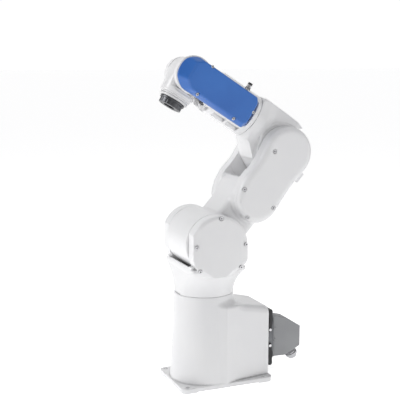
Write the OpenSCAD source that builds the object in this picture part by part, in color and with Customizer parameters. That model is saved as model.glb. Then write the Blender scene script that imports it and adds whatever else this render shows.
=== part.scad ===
// Six-axis articulated robot arm. Millimetres, +Z up, +X forward, +Y the arm's left.
// Origin: the first axis (J1) where it meets the mounting plane.

/* [Base] */
// Foot plate thickness
plate_t = 14; // [12:1:18]
// Front edge of the foot plate, ahead of J1
plate_front = 98; // [96:1:104]
// Rear edge of the foot plate, behind J1
plate_rear = 168; // [166:1:168]
// Half width of the foot plate
plate_half_w = 94; // [92:1:100]
// Front bolt row, ahead of J1
bolt_front = 80; // [78:1:82]
// Rear bolt row, behind J1
bolt_rear = 140; // [138:1:142]
// Half spacing of the bolts across the plate
bolt_half_y = 82; // [81:1:83]
// Radius of the four bolt holes
bolt_r = 6; // [5.5:0.5:6.5]
// Radius of the cable bore through the foot plate on J1
cable_bore_r = 30; // [25:1:34]
// Column radius at the plate
column_r = 93.5; // [92:0.5:93.5]
// Column radius at the J1 seam
neck_r = 81; // [80:1:83]
// Height of the J1 seam
seam_z = 252; // [250:1:254]
// Half width of the rear terminal box at its rear wall
box_half_w = 70; // [69:1:73]

/* [Shoulder] */
// Height of the shoulder axis J2
j2_z = 395; // [393:1:397]
// Radius of the arm drum at J2
drum_r = 80; // [78:1:80]
// Half width of the arm drum
drum_half_w = 70.6; // [70:0.1:70.9]
// Inner face of the turret ears
ear_in = 71.3; // [71.2:0.1:71.5]
// Joint face between the ears and their covers
ear_out = 104; // [102:1:104]
// Thickness of a shoulder cover
shoulder_cover_t = 7; // [6:1:8]

/* [Upper arm] */
// Distance from J2 to J3
arm_l = 310; // [308:1:312]
// Lean of the upper arm behind vertical, degrees
arm_lean = 42.25; // [42:0.25:42.5]
// Inner face of the fork at the elbow
fork_in = 52; // [52:0.5:53]
// Joint face between the fork and its covers
fork_out = 80; // [79:0.5:81]
// Outer face of the arm covers
arm_half_w = 95; // [94:0.5:97]

/* [Forearm] */
// Rise of the forearm above horizontal, degrees
forearm_rise = 32.4; // [32:0.2:33]
// Offset of J4 from J3
j4_off = 42; // [41:0.5:43]
// Distance from the elbow to J5 along the forearm
forearm_l = 328; // [326:1:330]
// Elbow seam (J4) ahead of J3
j4_seam = 120; // [119:1:122]
// Forearm radius
tube_r = 60; // [58:0.5:61]
// Face that carries the forearm cover
cover_seat_y = 45; // [44:0.5:46]
// Outer face of the forearm cover
cover_out_y = 67; // [65:0.5:68]
// End radius of the forearm cover
cover_r = 46.5; // [46:0.5:47]

/* [Wrist] */
// Half width of the slot that holds the wrist
wrist_slot = 30; // [29.8:0.1:30.5]
// Radius of the wrist barrel
wrist_r = 43; // [42:0.5:43.5]
// Distance from J5 to the end of the barrel
wrist_l = 67; // [66:0.5:68]
// Distance from J5 to the tool face
flange_l = 96.5; // [95:0.5:98]
// Tool flange radius
flange_r = 31.5; // [31:0.5:32]
// Pitch circle of the tool bolts
flange_pcd = 50; // [50:1:50]
// Tool pilot bore radius
pilot_r = 15.75; // [15.5:0.25:16]

/* [Hidden] */
$fn = 64;
white = [0.93, 0.93, 0.94];
e = 0.01;
lat_gap = 0.3;

// Frames ---------------------------------------------------------------
// Upper arm frame: origin on J2, X ahead of the arm, Z along the arm
module arm_frame() { translate([0, 0, j2_z]) rotate([0, -arm_lean, 0]) children(); }
// Elbow frame: origin on J3, X along the forearm, Z square to it
module elbow_frame() { arm_frame() translate([0, 0, arm_l]) rotate([0, arm_lean - forearm_rise, 0]) children(); }
// Forearm frame: origin on the J4 axis abreast of J3
module fore_frame() { elbow_frame() translate([0, 0, j4_off]) children(); }
// Wrist frame: origin on J5, same directions as the forearm
module wrist_frame() { fore_frame() translate([forearm_l, 0, 0]) children(); }

// Helpers ----------------------------------------------------------------
// Cylinder along Y from y0 to y1
module ycyl(r, y0, y1) { translate([0, y1, 0]) rotate([90, 0, 0]) cylinder(r = r, h = y1 - y0); }
// Cylinder along X from x0 to x1
module xcyl(r, x0, x1) { translate([x0, 0, 0]) rotate([0, 90, 0]) cylinder(r = r, h = x1 - x0); }
// Cylinder down the negative Z axis, from depth z0 to z1
module dcyl(r, z0, z1) { translate([0, 0, -z1]) cylinder(r = r, h = z1 - z0); }
// Extrude an X-Z outline along Y
module yext(y0, y1) { translate([0, y1, 0]) rotate([90, 0, 0]) linear_extrude(height = y1 - y0) children(); }
// Box from two corners
module bx(a, b) { translate(a) cube(b - a); }
// Mirror pair across the X-Z plane
module both() { children(); mirror([0, 1, 0]) children(); }
// Ring, axis Z
module ring(ro, ri, h) { difference() { cylinder(r = ro, h = h); translate([0, 0, -1]) cylinder(r = ri, h = h + 2); } }
// Socket-head cap screw, head outward along +Z, sunk shank
module cap_screw(rh, hh, rs, ls) {
    difference() {
        cylinder(r = rh, h = hh);
        translate([0, 0, hh * 0.45]) cylinder(r = rh * 0.5, h = hh, $fn = 6);
    }
    translate([0, 0, -ls]) cylinder(r = rs, h = ls + e);
}
// Servo motor along +Z: square flange at z = 0, body below, shaft above
module servo(w, l, rs, ls) {
    translate([-w / 2, -w / 2, -8]) cube([w, w, 8]);
    translate([0, 0, -l]) cylinder(r = w * 0.48, h = l - 8 + e);
    translate([0, 0, -l - 12]) cylinder(r = w * 0.38, h = 12 + e);
    cylinder(r = rs, h = ls);
}
// Toothed pulley along Z with two rims
module pulley(r, w, bore, n) {
    difference() {
        union() {
            translate([0, 0, 0.5]) linear_extrude(height = w - 1)
                polygon([for (i = [0 : n - 1], q = [[0.1, -1.2], [0.2, 0], [0.7, 0], [0.8, -1.2]]) (r + q[1]) * [cos((i + q[0]) * 360 / n), sin((i + q[0]) * 360 / n)]]);
            cylinder(r = r + 1.5, h = 1.5);
            translate([0, 0, w - 1.5]) cylinder(r = r + 1.5, h = 1.5);
        }
        translate([0, 0, -1]) cylinder(r = bore, h = w + 2);
    }
}
// Open belt loop of width w round two pulleys at c0 and c1 in its own plane
module belt_loop(c0, r0, c1, r1, t, w) {
    d = norm(c1 - c0);
    a = atan2(c1[1] - c0[1], c1[0] - c0[0]);
    b = acos((r0 - r1) / d);
    translate([c0[0], c0[1], 0]) rotate([0, 0, a]) linear_extrude(height = w) difference() {
        union() {
            circle(r = r0 + t);
            translate([d, 0]) circle(r = r1 + t);
            polygon([for (q = [[b, 0, r0 + t - 0.04], [b, d, r1 + t - 0.04], [-b, d, r1 + t - 0.04], [-b, 0, r0 + t - 0.04]]) [q[1] + q[2] * cos(q[0]), q[2] * sin(q[0])]]);
        }
        circle(r = r0);
        translate([d, 0]) circle(r = r1);
        polygon([for (q = [[b, 0, r0 + 0.04], [b, d, r1 + 0.04], [-b, d, r1 + 0.04], [-b, 0, r0 + 0.04]]) [q[1] + q[2] * cos(q[0]), q[2] * sin(q[0])]]);
    }
}

// Base -------------------------------------------------------------------
module plate_2d() {
    r = 16;
    translate([-plate_rear + r, -plate_half_w]) square([plate_front + plate_rear - 2 * r, 2 * plate_half_w]);
    translate([-plate_rear, -plate_half_w + r]) square([plate_front + plate_rear, 2 * plate_half_w - 2 * r]);
    for (x = [-plate_rear + r, plate_front - r], y = [-plate_half_w + r, plate_half_w - r]) translate([x, y]) circle(r = r);
}
// Side outline of the rear box, X-Z
module box_side_2d() {
    polygon([[0, plate_t - e], [0, 236], [-72, 236], [-79, 226], [-90, 221], [-148, 209], [-160, 205], [-166, 197], [-plate_rear, 187], [-plate_rear, plate_t - e]]);
}
module base_casting() {
    color(white) difference() {
        union() {
            linear_extrude(height = plate_t) plate_2d();
            translate([0, 0, plate_t - e]) cylinder(r1 = column_r, r2 = neck_r, h = seam_z - plate_t);
            intersection() {
                yext(-100, 100) box_side_2d();
                linear_extrude(height = 260) polygon([[10, -60], [-30, -90], [-plate_rear, -box_half_w], [-plate_rear, box_half_w], [-30, 90], [10, 60]]);
            }
        }
        // clear the box above the column's shoulder so that it follows the neck
        difference() {
            bx([-100, -100, 224], [20, 100, 260]);
            translate([0, 0, plate_t - e]) cylinder(r1 = column_r, r2 = neck_r, h = seam_z - plate_t);
        }
        // relief between the four corner feet and the pad round the cable bore
        difference() {
            union() {
                bx([-plate_rear + 42, -plate_half_w - 1, -1], [plate_front - 42, plate_half_w + 1, 2.5]);
                bx([-plate_rear - 1, -plate_half_w + 38, -1], [plate_front + 1, plate_half_w - 38, 2.5]);
            }
            translate([0, 0, -2]) cylinder(r = 44, h = 6);
        }
        for (x = [-bolt_rear, bolt_front], y = [-bolt_half_y, bolt_half_y]) translate([x, y, -1]) cylinder(r = bolt_r, h = 40);
        translate([0, 0, -1]) cylinder(r = cable_bore_r, h = 30);
        // column cavity, reducer seat and bearing seat
        translate([0, 0, plate_t]) cylinder(r1 = 84, r2 = 72, h = 176);
        translate([0, 0, 150]) cylinder(r = 60, h = 110);
        // rear box cavity
        translate([0, 0, plate_t]) linear_extrude(height = 174) polygon([[-40, -80], [-plate_rear + 9, -box_half_w + 8], [-plate_rear + 9, box_half_w - 8], [-40, 80]]);
        // window behind the connector and its four screw holes
        bx([-plate_rear - 1, -16, 40], [-plate_rear + 12, 16, 168]);
        for (z = [36, 172], y = [-20, 20]) translate([-plate_rear - 1, y, z]) rotate([0, 90, 0]) cylinder(r = 2.5, h = 12);
    }
}
module j1_motor() { color([0.16, 0.17, 0.18]) translate([0, 0, 196]) servo(80, 104, 8, 3.9); }
module j1_reducer() {
    color([0.72, 0.73, 0.75]) difference() {
        translate([0, 0, 196]) cylinder(r = 60, h = 38);
        translate([0, 0, 195]) cylinder(r = 8.05, h = 24);
        for (i = [0 : 7]) rotate([0, 0, i * 45]) translate([53, 0, 226]) cylinder(r = 2.6, h = 9);
    }
}
module j1_bearing_outer() {
    color([0.8, 0.81, 0.82]) translate([0, 0, 236]) rotate_extrude($fn = 96)
        polygon([[60, 0], [60, 14], [52.5, 14], [52.5, 10.4], [54.2, 8.6], [54.2, 5.4], [52.5, 3.6], [52.5, 0]]);
}
module j1_bearing_inner() {
    color([0.78, 0.79, 0.8]) translate([0, 0, 236]) rotate_extrude($fn = 96)
        polygon([[38, 0], [38, 16.6], [47.5, 16.6], [47.5, 10.4], [45.8, 8.6], [45.8, 5.4], [47.5, 3.6], [47.5, 0]]);
}
module j1_bearing_balls() {
    color([0.85, 0.86, 0.87]) for (i = [0 : 19]) rotate([0, 0, i * 18]) translate([50, 0, 243]) sphere(r = 3.6, $fn = 24);
}
module j1_seal() { color([0.1, 0.1, 0.1]) translate([0, 0, 250]) ring(60, 53, 2.2); }

// Rear connector ---------------------------------------------------------
module connector_base() {
    color([0.24, 0.25, 0.27]) difference() {
        union() {
            bx([-plate_rear - 6, -27, 27], [-plate_rear, 27, 179]);
            bx([-plate_rear - 35, -23, 36], [-plate_rear - 6 + e, 23, 166]);
            bx([-plate_rear, -14, 42], [-plate_rear + 30, 14, 166]);
        }
        bx([-plate_rear - 36, -18, 41], [-plate_rear - 12, 18, 161]);
        for (z = [36, 172], y = [-20, 20]) translate([-plate_rear - 40, y, z]) rotate([0, 90, 0]) cylinder(r = 2.5, h = 72);
        for (z = [36, 172], y = [-20, 20]) translate([-plate_rear - 40, y, z]) rotate([0, 90, 0]) cylinder(r = 5, h = 34);
        for (z = [80, 126]) translate([-plate_rear - 22, 0, z]) ycyl(2.5, -24, 24);
    }
}
module connector_screws() {
    color([0.7, 0.7, 0.72]) for (z = [36, 172], y = [-20, 20]) translate([-plate_rear - 6, y, z]) rotate([0, -90, 0]) cap_screw(4.2, 4, 2.4, 13);
}
module latch_pins() {
    color([0.75, 0.75, 0.77]) for (z = [80, 126]) translate([-plate_rear - 22, 0, z]) both() { ycyl(2.45, 18, 31); ycyl(4, 31, 32.5); }
}
// Hood outline, X-Z
module hood_2d() { polygon([[-204, 44], [-204, 160], [-213, 161], [-247, 152], [-290, 124], [-290, 66], [-243, 43]]); }
module connector_hood() {
    color([0.56, 0.57, 0.58]) difference() {
        union() {
            yext(-22, 22) hood_2d();
            both() for (z = [92, 125]) translate([-208, 0, z]) ycyl(3.5, 19, 24.6);
        }
        yext(-18, 18) polygon([[-203, 49], [-203, 153], [-212, 156], [-245, 147], [-285, 121], [-285, 69], [-241, 49]]);
        // outlet for the gland, square to the sloping lower rear wall
        translate([-266.5, 0, 54.5]) rotate([0, gland_a, 0]) translate([0, 0, -12]) cylinder(r = 14, h = 30);
    }
}
gland_a = -153.93;
module gland_frame() { translate([-266.5, 0, 54.5]) rotate([0, gland_a, 0]) children(); }
module cable_gland() {
    color([0.8, 0.81, 0.82]) gland_frame() difference() {
        union() { translate([0, 0, 0.1]) cylinder(r = 20, h = 9, $fn = 6); translate([0, 0, -9]) cylinder(r = 13.95, h = 9.2); translate([0, 0, 9]) cylinder(r = 15.5, h = 5); }
        translate([0, 0, -10]) cylinder(r = 9, h = 40);
    }
}
module gland_cap() {
    color([0.85, 0.85, 0.86]) gland_frame() translate([0, 0, 14]) difference() {
        union() { cylinder(r = 18, h = 6); translate([0, 0, 6 - e]) cylinder(r1 = 18, r2 = 12.5, h = 9); }
        translate([0, 0, -1]) cylinder(r = 9, h = 20);
    }
}
// Locking lever: two side arms on the pins and a bow across the end. up = 1 for the upper lever, -1 for the lower
module latch(up) {
    color([0.1, 0.1, 0.11]) difference() {
        union() {
            both() yext(25, 29) translate([-plate_rear - 22, 103 + up * 23]) {
                circle(r = 7.5);
                polygon([[-7, up * -2], [-7, up * 10], [-10, up * 26], [-8, up * 40], [-9, up * 55], [-3, up * 59], [4, up * 57], [4, up * 40], [1, up * 26], [5, up * 10], [7, up * -2]]);
            }
            translate([0, 0, 103 + up * 76]) bx([-plate_rear - 31, -25 - e, -3], [-plate_rear - 18, 25 + e, 3]);
        }
        translate([-plate_rear - 22, 0, 103 + up * 23]) ycyl(2.75, -40, 40);
    }
}
module upper_latch() latch(1);
module lower_latch() latch(-1);

// Turret -----------------------------------------------------------------
// Ear outline about J2, X-Z
module ear_2d() {
    intersection() {
        circle(r = drum_r, $fn = 128);
        translate([-90, -90]) square([163, 180]);
    }
    polygon([[-80, 6], [-83, -10], [-83, -48], [-64, -63], [-42, -84], [38, -84], [58, -64], [73, -40], [73, 0]]);
}
module turret_casting() {
    color(white) difference() {
        union() {
            hull() {
                translate([0, 0, seam_z + 0.6]) cylinder(r = neck_r, h = 1);
                translate([0, 0, 326]) linear_extrude(height = 6) polygon([[-82, -ear_out], [52, -ear_out], [68, -88], [68, 88], [52, ear_out], [-82, ear_out]]);
            }
            translate([0, 0, j2_z]) both() yext(ear_in, ear_out) ear_2d();
            bx([58, -88, 326], [73, 88, 342]);
            translate([0, 0, 236.6]) cylinder(r = 38, h = 20);
        }
        // pocket for the arm drum
        translate([0, 0, j2_z]) ycyl(88, -ear_in, ear_in);
        bx([-60, -ear_in, 340], [100, ear_in, 380]);
        // cable way down the middle
        translate([0, 0, 230]) cylinder(r = 30, h = 100);
        // right ear: reducer seat, left ear: bearing seat
        translate([0, 0, j2_z]) ycyl(56, -ear_out - 1, -ear_in + 1);
        translate([0, 0, j2_z]) ycyl(42, ear_in - 1, ear_out + 1);
        // ear pockets under the covers
        translate([0, 0, j2_z]) both() ycyl(66, 92, ear_out + 1);
    }
}
// Shallow dished cover; side = 1 left, -1 right
module shoulder_cover() {
    difference() {
        translate([0, 0, j2_z]) yext(ear_out, ear_out + shoulder_cover_t) ear_2d();
        translate([0, 0, j2_z]) ycyl(66, ear_out - 1, ear_out + 3.5);
        for (p = scr) translate([p[0], 0, j2_z + p[1]]) ycyl(5.2, ear_out + 3, ear_out + 10);
        for (p = scr) translate([p[0], 0, j2_z + p[1]]) ycyl(2.6, ear_out - 1, ear_out + 10);
    }
}
scr = [[66, 2], [-3, 74], [56, -62], [-75, 0], [-61, -60]];
module left_shoulder_cover() { color(white) shoulder_cover(); }
module right_shoulder_cover() { color(white) mirror([0, 1, 0]) shoulder_cover(); }
module shoulder_cover_screws() {
    color([0.75, 0.75, 0.77]) both() for (p = scr) translate([p[0], ear_out + 3, j2_z + p[1]]) rotate([-90, 0, 0]) cap_screw(4.6, 4.5, 2.5, 3);
}
module j2_motor() { color([0.16, 0.17, 0.18]) translate([0, -66, j2_z]) rotate([-90, 0, 0]) mirror([0, 0, 1]) servo2(); }
// J2 motor: flange on the reducer, body inside the ear and cover
module servo2() {
    translate([0, 0, 0]) cylinder(r = 38, h = 28);
    translate([0, 0, 28 - e]) cylinder(r = 30, h = 8);
    translate([0, 0, -30]) cylinder(r = 7, h = 30 + e);
}
module j2_reducer() {
    color([0.72, 0.73, 0.75]) translate([0, 0, j2_z]) difference() {
        union() { ycyl(56, -86, -ear_in); ycyl(48, -ear_in - e, -20); }
        ycyl(38.1, -87, -66);
        ycyl(7.1, -67, -19);
    }
}
module j2_output_flange() {
    color([0.66, 0.67, 0.7]) translate([0, 0, j2_z]) difference() {
        ycyl(46, -19.4, 0);
        ycyl(9, -40, 20);
        for (i = [0 : 7]) rotate([0, i * 45, 0]) translate([36, 0, 0]) ycyl(3.3, -30, 1);
    }
}
module j2_trunnion() {
    color([0.66, 0.67, 0.7]) translate([0, 0, j2_z]) difference() {
        union() { ycyl(34, drum_half_w - 12, drum_half_w + 0.3); ycyl(24.95, drum_half_w, 92); }
        ycyl(15, 0, 100);
    }
}
module j2_support_bearing() {
    color([0.8, 0.81, 0.82]) translate([0, 0, j2_z]) difference() {
        ycyl(42, 74, 90);
        ycyl(25, 73, 91);
        both() difference() { ycyl(37, 88, 91); ycyl(30, 87, 92); }
    }
}

// Upper arm --------------------------------------------------------------
// Side outline of the arm body in the arm frame: X ahead, Z along the arm
module bean_2d() {
    translate([2, 313]) circle(r = 70, $fn = 128);
    polygon([[71, 300], [62, 268], [57, 244], [55, 218], [57, 188], [52, 165], [44, 142], [34, 124], [18, 111], [-4, 104], [-26, 103], [-46, 109], [-61, 121], [-72, 142], [-76, 165], [-71, 200], [-67, 240], [-66, 270], [-68, 305]]);
}
j3m = [-14, 152];
module upper_arm_casting() {
    color(white) arm_frame() difference() {
        union() {
            ycyl(drum_r, -drum_half_w, drum_half_w);
            bx([-68, -58, 0], [41, 58, 150]);
            both() yext(fork_in, fork_out) bean_2d();
            intersection() {
                yext(-fork_in - e, fork_in + e) bean_2d();
                bx([-90, -60, 90], [90, 60, 235]);
            }
        }
        // saddle that the elbow turns in
        translate([0, 0, arm_l]) ycyl(118, -fork_in, fork_in);
        // drum cavity: output flange seat, reducer clearance, trunnion seat
        ycyl(50, -80, -19);
        ycyl(46, -25, 0);
        ycyl(34, drum_half_w - 12, drum_half_w + 1);
        ycyl(16, -5, 90);
        for (i = [0 : 7]) rotate([0, i * 45 + arm_lean, 0]) translate([36, 0, 0]) ycyl(2.6, -1, 14);
        // motor bore for J3 across the arm, and a cable way from the drum
        translate([j3m[0], 0, j3m[1]]) ycyl(32, -40, fork_out + 1);
        bx([-30, -52, 60], [20, -10, 150]);
        // left fork ear: reducer seat; right fork ear: bearing seat
        translate([0, 0, arm_l]) ycyl(50, fork_in - 1, fork_out + 1);
        translate([0, 0, arm_l]) ycyl(32, -fork_out - 1, -fork_in + 1);
        // right ear cable pocket
        translate([-6, 0, 200]) ycyl(26, -fork_out - 1, -62);
    }
}
asc = [[40, 288], [40, 158], [-19, 108], [-60, 175]];
module arm_cover() {
    difference() {
        yext(fork_out, arm_half_w) bean_2d();
        difference() {
            translate([0, 0, 212]) yext(fork_out - 1, arm_half_w - 3.5) scale(0.92) translate([0, -212]) bean_2d();
            for (p = asc) translate([p[0], 0, p[1]]) ycyl(6, fork_out - 2, arm_half_w);
        }
        for (p = asc) translate([p[0], 0, p[1]]) { ycyl(5.4, arm_half_w - 5, arm_half_w + 1); ycyl(2.6, fork_out - 1, arm_half_w); }
    }
}
module left_arm_cover() { color(white) arm_frame() arm_cover(); }
module right_arm_cover() { color(white) arm_frame() mirror([0, 1, 0]) arm_cover(); }
module arm_cover_screws() {
    color([0.75, 0.75, 0.77]) arm_frame() both() for (p = asc) translate([p[0], arm_half_w - 5, p[1]]) rotate([-90, 0, 0]) cap_screw(4.6, 4.5, 2.5, 10);
}
module j3_motor() { color([0.16, 0.17, 0.18]) arm_frame() translate([j3m[0], 76, j3m[1]]) rotate([-90, 0, 0]) union() { translate([0, 0, -104]) cylinder(r = 31.8, h = 104); cylinder(r = 7, h = 15); } }
module j3_motor_pulley() { color([0.62, 0.63, 0.65]) arm_frame() translate([j3m[0], 78, j3m[1]]) rotate([-90, 0, 0]) pulley(18, 12, 7.02, 24); }
module j3_input_pulley() { color([0.62, 0.63, 0.65]) arm_frame() translate([0, 78.5, arm_l]) rotate([-90, 0, 0]) pulley(26, 12, 7.02, 36); }
module j3_belt() {
    // belt plane seen from the left: local X is the arm frame's X, local Y is minus Z
    color([0.08, 0.08, 0.08]) arm_frame() translate([0, 80, 0]) rotate([-90, 0, 0]) belt_loop([j3m[0], -j3m[1]], 18.05, [0, -arm_l], 26.05, 2.2, 8.5);
}
module j3_reducer() {
    color([0.72, 0.73, 0.75]) arm_frame() translate([0, 0, arm_l]) difference() {
        union() { ycyl(50, 60, 78); ycyl(7, 77, 91); }
        ycyl(34, 59, 68);
    }
}
module j3_support_bearing() {
    color([0.8, 0.81, 0.82]) arm_frame() translate([0, 0, arm_l]) difference() {
        ycyl(32, -74, -60);
        ycyl(20, -75, -59);
    }
}
module arm_cable_boss() {
    color([0.9, 0.9, 0.91]) arm_frame() difference() {
        yext(60, 78) polygon([[-78, 274], [-66.23, 274], [-67.94, 304], [-78, 304]]);
        translate([0, 69, 281]) xcyl(2.2, -80, -72);
        translate([0, 69, 297]) xcyl(2.2, -80, -72);
    }
}

// Elbow ------------------------------------------------------------------
module elbow_housing() {
    color(white) elbow_frame() difference() {
        union() {
            ycyl(74, -fork_in + 0.6, fork_in - 0.6);
            intersection() {
                translate([0, 0, j4_off]) xcyl(tube_r, 0, 82);
                bx([-90, -fork_in + 0.6, -80], [90, fork_in - 0.6, 120]);
            }
            translate([0, 0, j4_off]) xcyl(tube_r, 82 - e, j4_seam);
            // gusset between drum and barrel
            yext(-40, 40) polygon([[0, 73], [-20, 88], [0, 96], [60, 99], [60, 0], [102, -14], [74, -40], [62, -52], [40, -60], [0, -60]]);
        }
        // barrel cavity: motor, reducer seat, bearing seat
        translate([0, 0, j4_off]) xcyl(36, -40, 92);
        translate([0, 0, j4_off]) xcyl(46, 72, j4_seam + 1);
        // seats for the output flange and the trunnion
        ycyl(33.5, 40, 60);
        ycyl(19, -60, -30);
        ycyl(14, -31, 41);
    }
}
module j3_output_flange() {
    color([0.66, 0.67, 0.7]) elbow_frame() difference() { ycyl(33.5, 40, 67.4); ycyl(14, 30, 70); }
}
module j3_trunnion() {
    color([0.66, 0.67, 0.7]) elbow_frame() difference() { union() { ycyl(19, -fork_in + 0.6, -30); ycyl(19.95, -76, -fork_in + 0.6); } ycyl(11, -80, -20); }
}
module j4_motor() { color([0.16, 0.17, 0.18]) fore_frame() translate([72, 0, 0]) rotate([0, 90, 0]) union() { translate([0, 0, -98]) cylinder(r = 30, h = 98); cylinder(r = 6, h = 4); } }
module j4_reducer() {
    color([0.72, 0.73, 0.75]) fore_frame() difference() { xcyl(46, 72, 104); xcyl(6.05, 71, 80); xcyl(30, 98, 106); }
}
module j4_bearing_outer() {
    color([0.8, 0.81, 0.82]) fore_frame() difference() { xcyl(46, 106, j4_seam - 0.5); xcyl(37, 105, j4_seam + 1); }
}

// Forearm ----------------------------------------------------------------
module forearm_casting() {
    color(white) fore_frame() difference() {
        union() {
            xcyl(tube_r, j4_seam + 0.6, j4_seam + 12);
            intersection() {
                xcyl(tube_r, j4_seam + 11, 300);
                bx([100, -70, -70], [320, cover_seat_y, 70]);
            }
            translate([forearm_l, 0, 0]) ycyl(50, -54, cover_seat_y);
            bx([270, -54, -50], [forearm_l, cover_seat_y, 50]);
        }
        // slot for the wrist
        bx([forearm_l - 49, -wrist_slot, -80], [400, wrist_slot, 80]);
        // room above and below for the wrist barrel as it folds back
        for (m = [0, 1]) translate([forearm_l, 0, 0]) mirror([0, 0, m]) {
            yext(-wrist_slot - 0.5, wrist_slot + 0.5) polygon([[0, 6], [-47.9, 6], [-72, -35.7], [-79.2, -48.2], [-98, -81], [0, -81]]);
            yext(-44, 44) difference() {
                polygon([[20, -90], [20, -40], [-44, -24], [-55, -28], [-80, -70], [-90, -90]]);
                circle(r = 51);
            }
        }
        // motor room, belt room and belt window
        xcyl(46, j4_seam + 16, 264);
        bx([j4_seam + 26, 20, -34], [262, cover_seat_y + 1, 34]);
        // left arm: reducer seat; right arm: bearing seat
        translate([forearm_l, 0, 0]) ycyl(36, wrist_slot - 1, cover_seat_y + 1);
        translate([forearm_l, 0, 0]) ycyl(20, -48, -wrist_slot + 1);
        // bore for the bearing spigot and cables
        xcyl(20, j4_seam - 20, j4_seam + 20);
        // two cast pockets under the cover on the lower side
        bx([j4_seam + 24, 26, -70], [j4_seam + 74, 60, -50]);
        bx([j4_seam + 84, 26, -70], [j4_seam + 130, 60, -50]);
    }
}
module j4_bearing_inner() {
    color([0.78, 0.79, 0.8]) fore_frame() difference() { xcyl(36.5, 106, j4_seam + 0.6); xcyl(20, 105, j4_seam + 2); }
}
fcs = [[300, -40], [179, -40], [302, 42], [139, 3]];
module cover_2d(r) {
    translate([forearm_l, 0]) circle(r = r);
    translate([132 + 46.5 - r, -r]) square([forearm_l - 132 - 46.5 + r, 2 * r]);
}
module forearm_cover() {
    color([0.05, 0.27, 0.67]) fore_frame() difference() {
        yext(cover_seat_y, cover_out_y) cover_2d(cover_r);
        difference() {
            yext(cover_seat_y - 1, cover_out_y - 3) cover_2d(cover_r - 3);
            for (p = fcs) translate([p[0], 0, p[1]]) ycyl(6.5, cover_seat_y - 2, cover_out_y);
        }
        for (p = fcs) translate([p[0], 0, p[1]]) { ycyl(4.4, cover_out_y - 8, cover_out_y + 1); ycyl(2.1, cover_seat_y - 1, cover_out_y); }
        translate([184, 56, cover_r - 5]) cylinder(r = 5, h = 10);
    }
}
module forearm_cover_screws() {
    color([0.8, 0.8, 0.82]) fore_frame() for (p = fcs) translate([p[0], cover_out_y - 8, p[1]]) rotate([-90, 0, 0]) cap_screw(3.8, 4, 2, 14);
}
module air_fitting_body() {
    color([0.8, 0.81, 0.82]) fore_frame() translate([184, 56, cover_r - 5]) { cylinder(r = 4.95, h = 6); translate([0, 0, 5 + e]) cylinder(r = 8, h = 5, $fn = 6); translate([0, 0, 10]) cylinder(r = 6.5, h = 7); }
}
module air_fitting_sleeve() {
    color([0.06, 0.06, 0.07]) fore_frame() translate([184, 56, cover_r + 12]) difference() { cylinder(r = 6.3, h = 6); translate([0, 0, 1]) cylinder(r = 3, h = 8); }
}
module j5_motor() { color([0.16, 0.17, 0.18]) fore_frame() translate([180, 42, 0]) rotate([-90, 0, 0]) union() { translate([0, 0, -66]) cylinder(r = 29, h = 66); cylinder(r = 6, h = 18); } }
module j5_motor_pulley() { color([0.62, 0.63, 0.65]) fore_frame() translate([180, 47, 0]) rotate([-90, 0, 0]) pulley(15, 12, 6.02, 20); }
module j5_input_pulley() { color([0.62, 0.63, 0.65]) fore_frame() translate([forearm_l, 47, 0]) rotate([-90, 0, 0]) pulley(22, 12, 6.02, 30); }
module j5_belt() { color([0.08, 0.08, 0.08]) fore_frame() translate([0, 48.5, 0]) rotate([-90, 0, 0]) belt_loop([180, 0], 15.05, [forearm_l, 0], 22.05, 2, 8.5); }
module j5_reducer() {
    color([0.72, 0.73, 0.75]) wrist_frame() union() { ycyl(36, wrist_slot + 1, cover_seat_y); ycyl(6, cover_seat_y - e, 61); }
}
module j5_support_bearing() {
    color([0.8, 0.81, 0.82]) wrist_frame() difference() { ycyl(20, -46, -wrist_slot - 1); ycyl(12, -50, -20); }
}

// Wrist ------------------------------------------------------------------
module wrist_housing() {
    color([0.88, 0.88, 0.89]) wrist_frame() difference() {
        union() {
            ycyl(46, -wrist_slot + 0.6, wrist_slot - 0.6);
            intersection() { dcyl(wrist_r, 0, 60); bx([-60, -wrist_slot + 0.6, -70], [60, wrist_slot - 0.6, 0]); }
            dcyl(wrist_r, 52, wrist_l);
        }
        dcyl(28, -28, 53);
        dcyl(36, 52, wrist_l + 1);
        ycyl(12, -31, -20);
        // recess on the back of the wrist
        bx([-12, -20, 34], [30, 20, 50]);
    }
}
module j5_trunnion() { color([0.66, 0.67, 0.7]) wrist_frame() ycyl(11.95, -45, -24); }
module j6_motor() { color([0.16, 0.17, 0.18]) wrist_frame() union() { dcyl(24, -22, 52); dcyl(5, 51, 56); } }
module j6_reducer() { color([0.72, 0.73, 0.75]) wrist_frame() difference() { dcyl(36, 52, 66); dcyl(5.05, 51, 57); dcyl(26, 60, 68); } }
module wrist_ring() { color([0.9, 0.9, 0.9]) wrist_frame() difference() { dcyl(40, wrist_l, 78); dcyl(26, wrist_l - 1, 80); } }
module tool_flange() {
    color([0.22, 0.22, 0.23]) wrist_frame() difference() {
        union() {
            dcyl(flange_r, 79, flange_l);
            dcyl(flange_r + 3, 79, 84);
            dcyl(25, 61, 79 + e);
        }
        dcyl(pilot_r, flange_l - 6, flange_l + 1);
        dcyl(10, 60, flange_l);
        for (i = [0 : 3]) rotate([0, 0, 45 + i * 90]) translate([flange_pcd / 2, 0, 0]) dcyl(2.5, flange_l - 12, flange_l + 1);
        rotate([0, 0, 90]) translate([flange_pcd / 2, 0, 0]) dcyl(3, flange_l - 6, flange_l + 1);
        for (i = [0 : 11]) rotate([0, 0, i * 30 + 15]) translate([flange_r + 2.5, 0, 0]) dcyl(3.4, 85, flange_l + 1);
    }
}
module flange_seal() { color([0.08, 0.08, 0.08]) wrist_frame() difference() { dcyl(32, 78, 78.6); dcyl(27, 77, 80); } }

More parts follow.
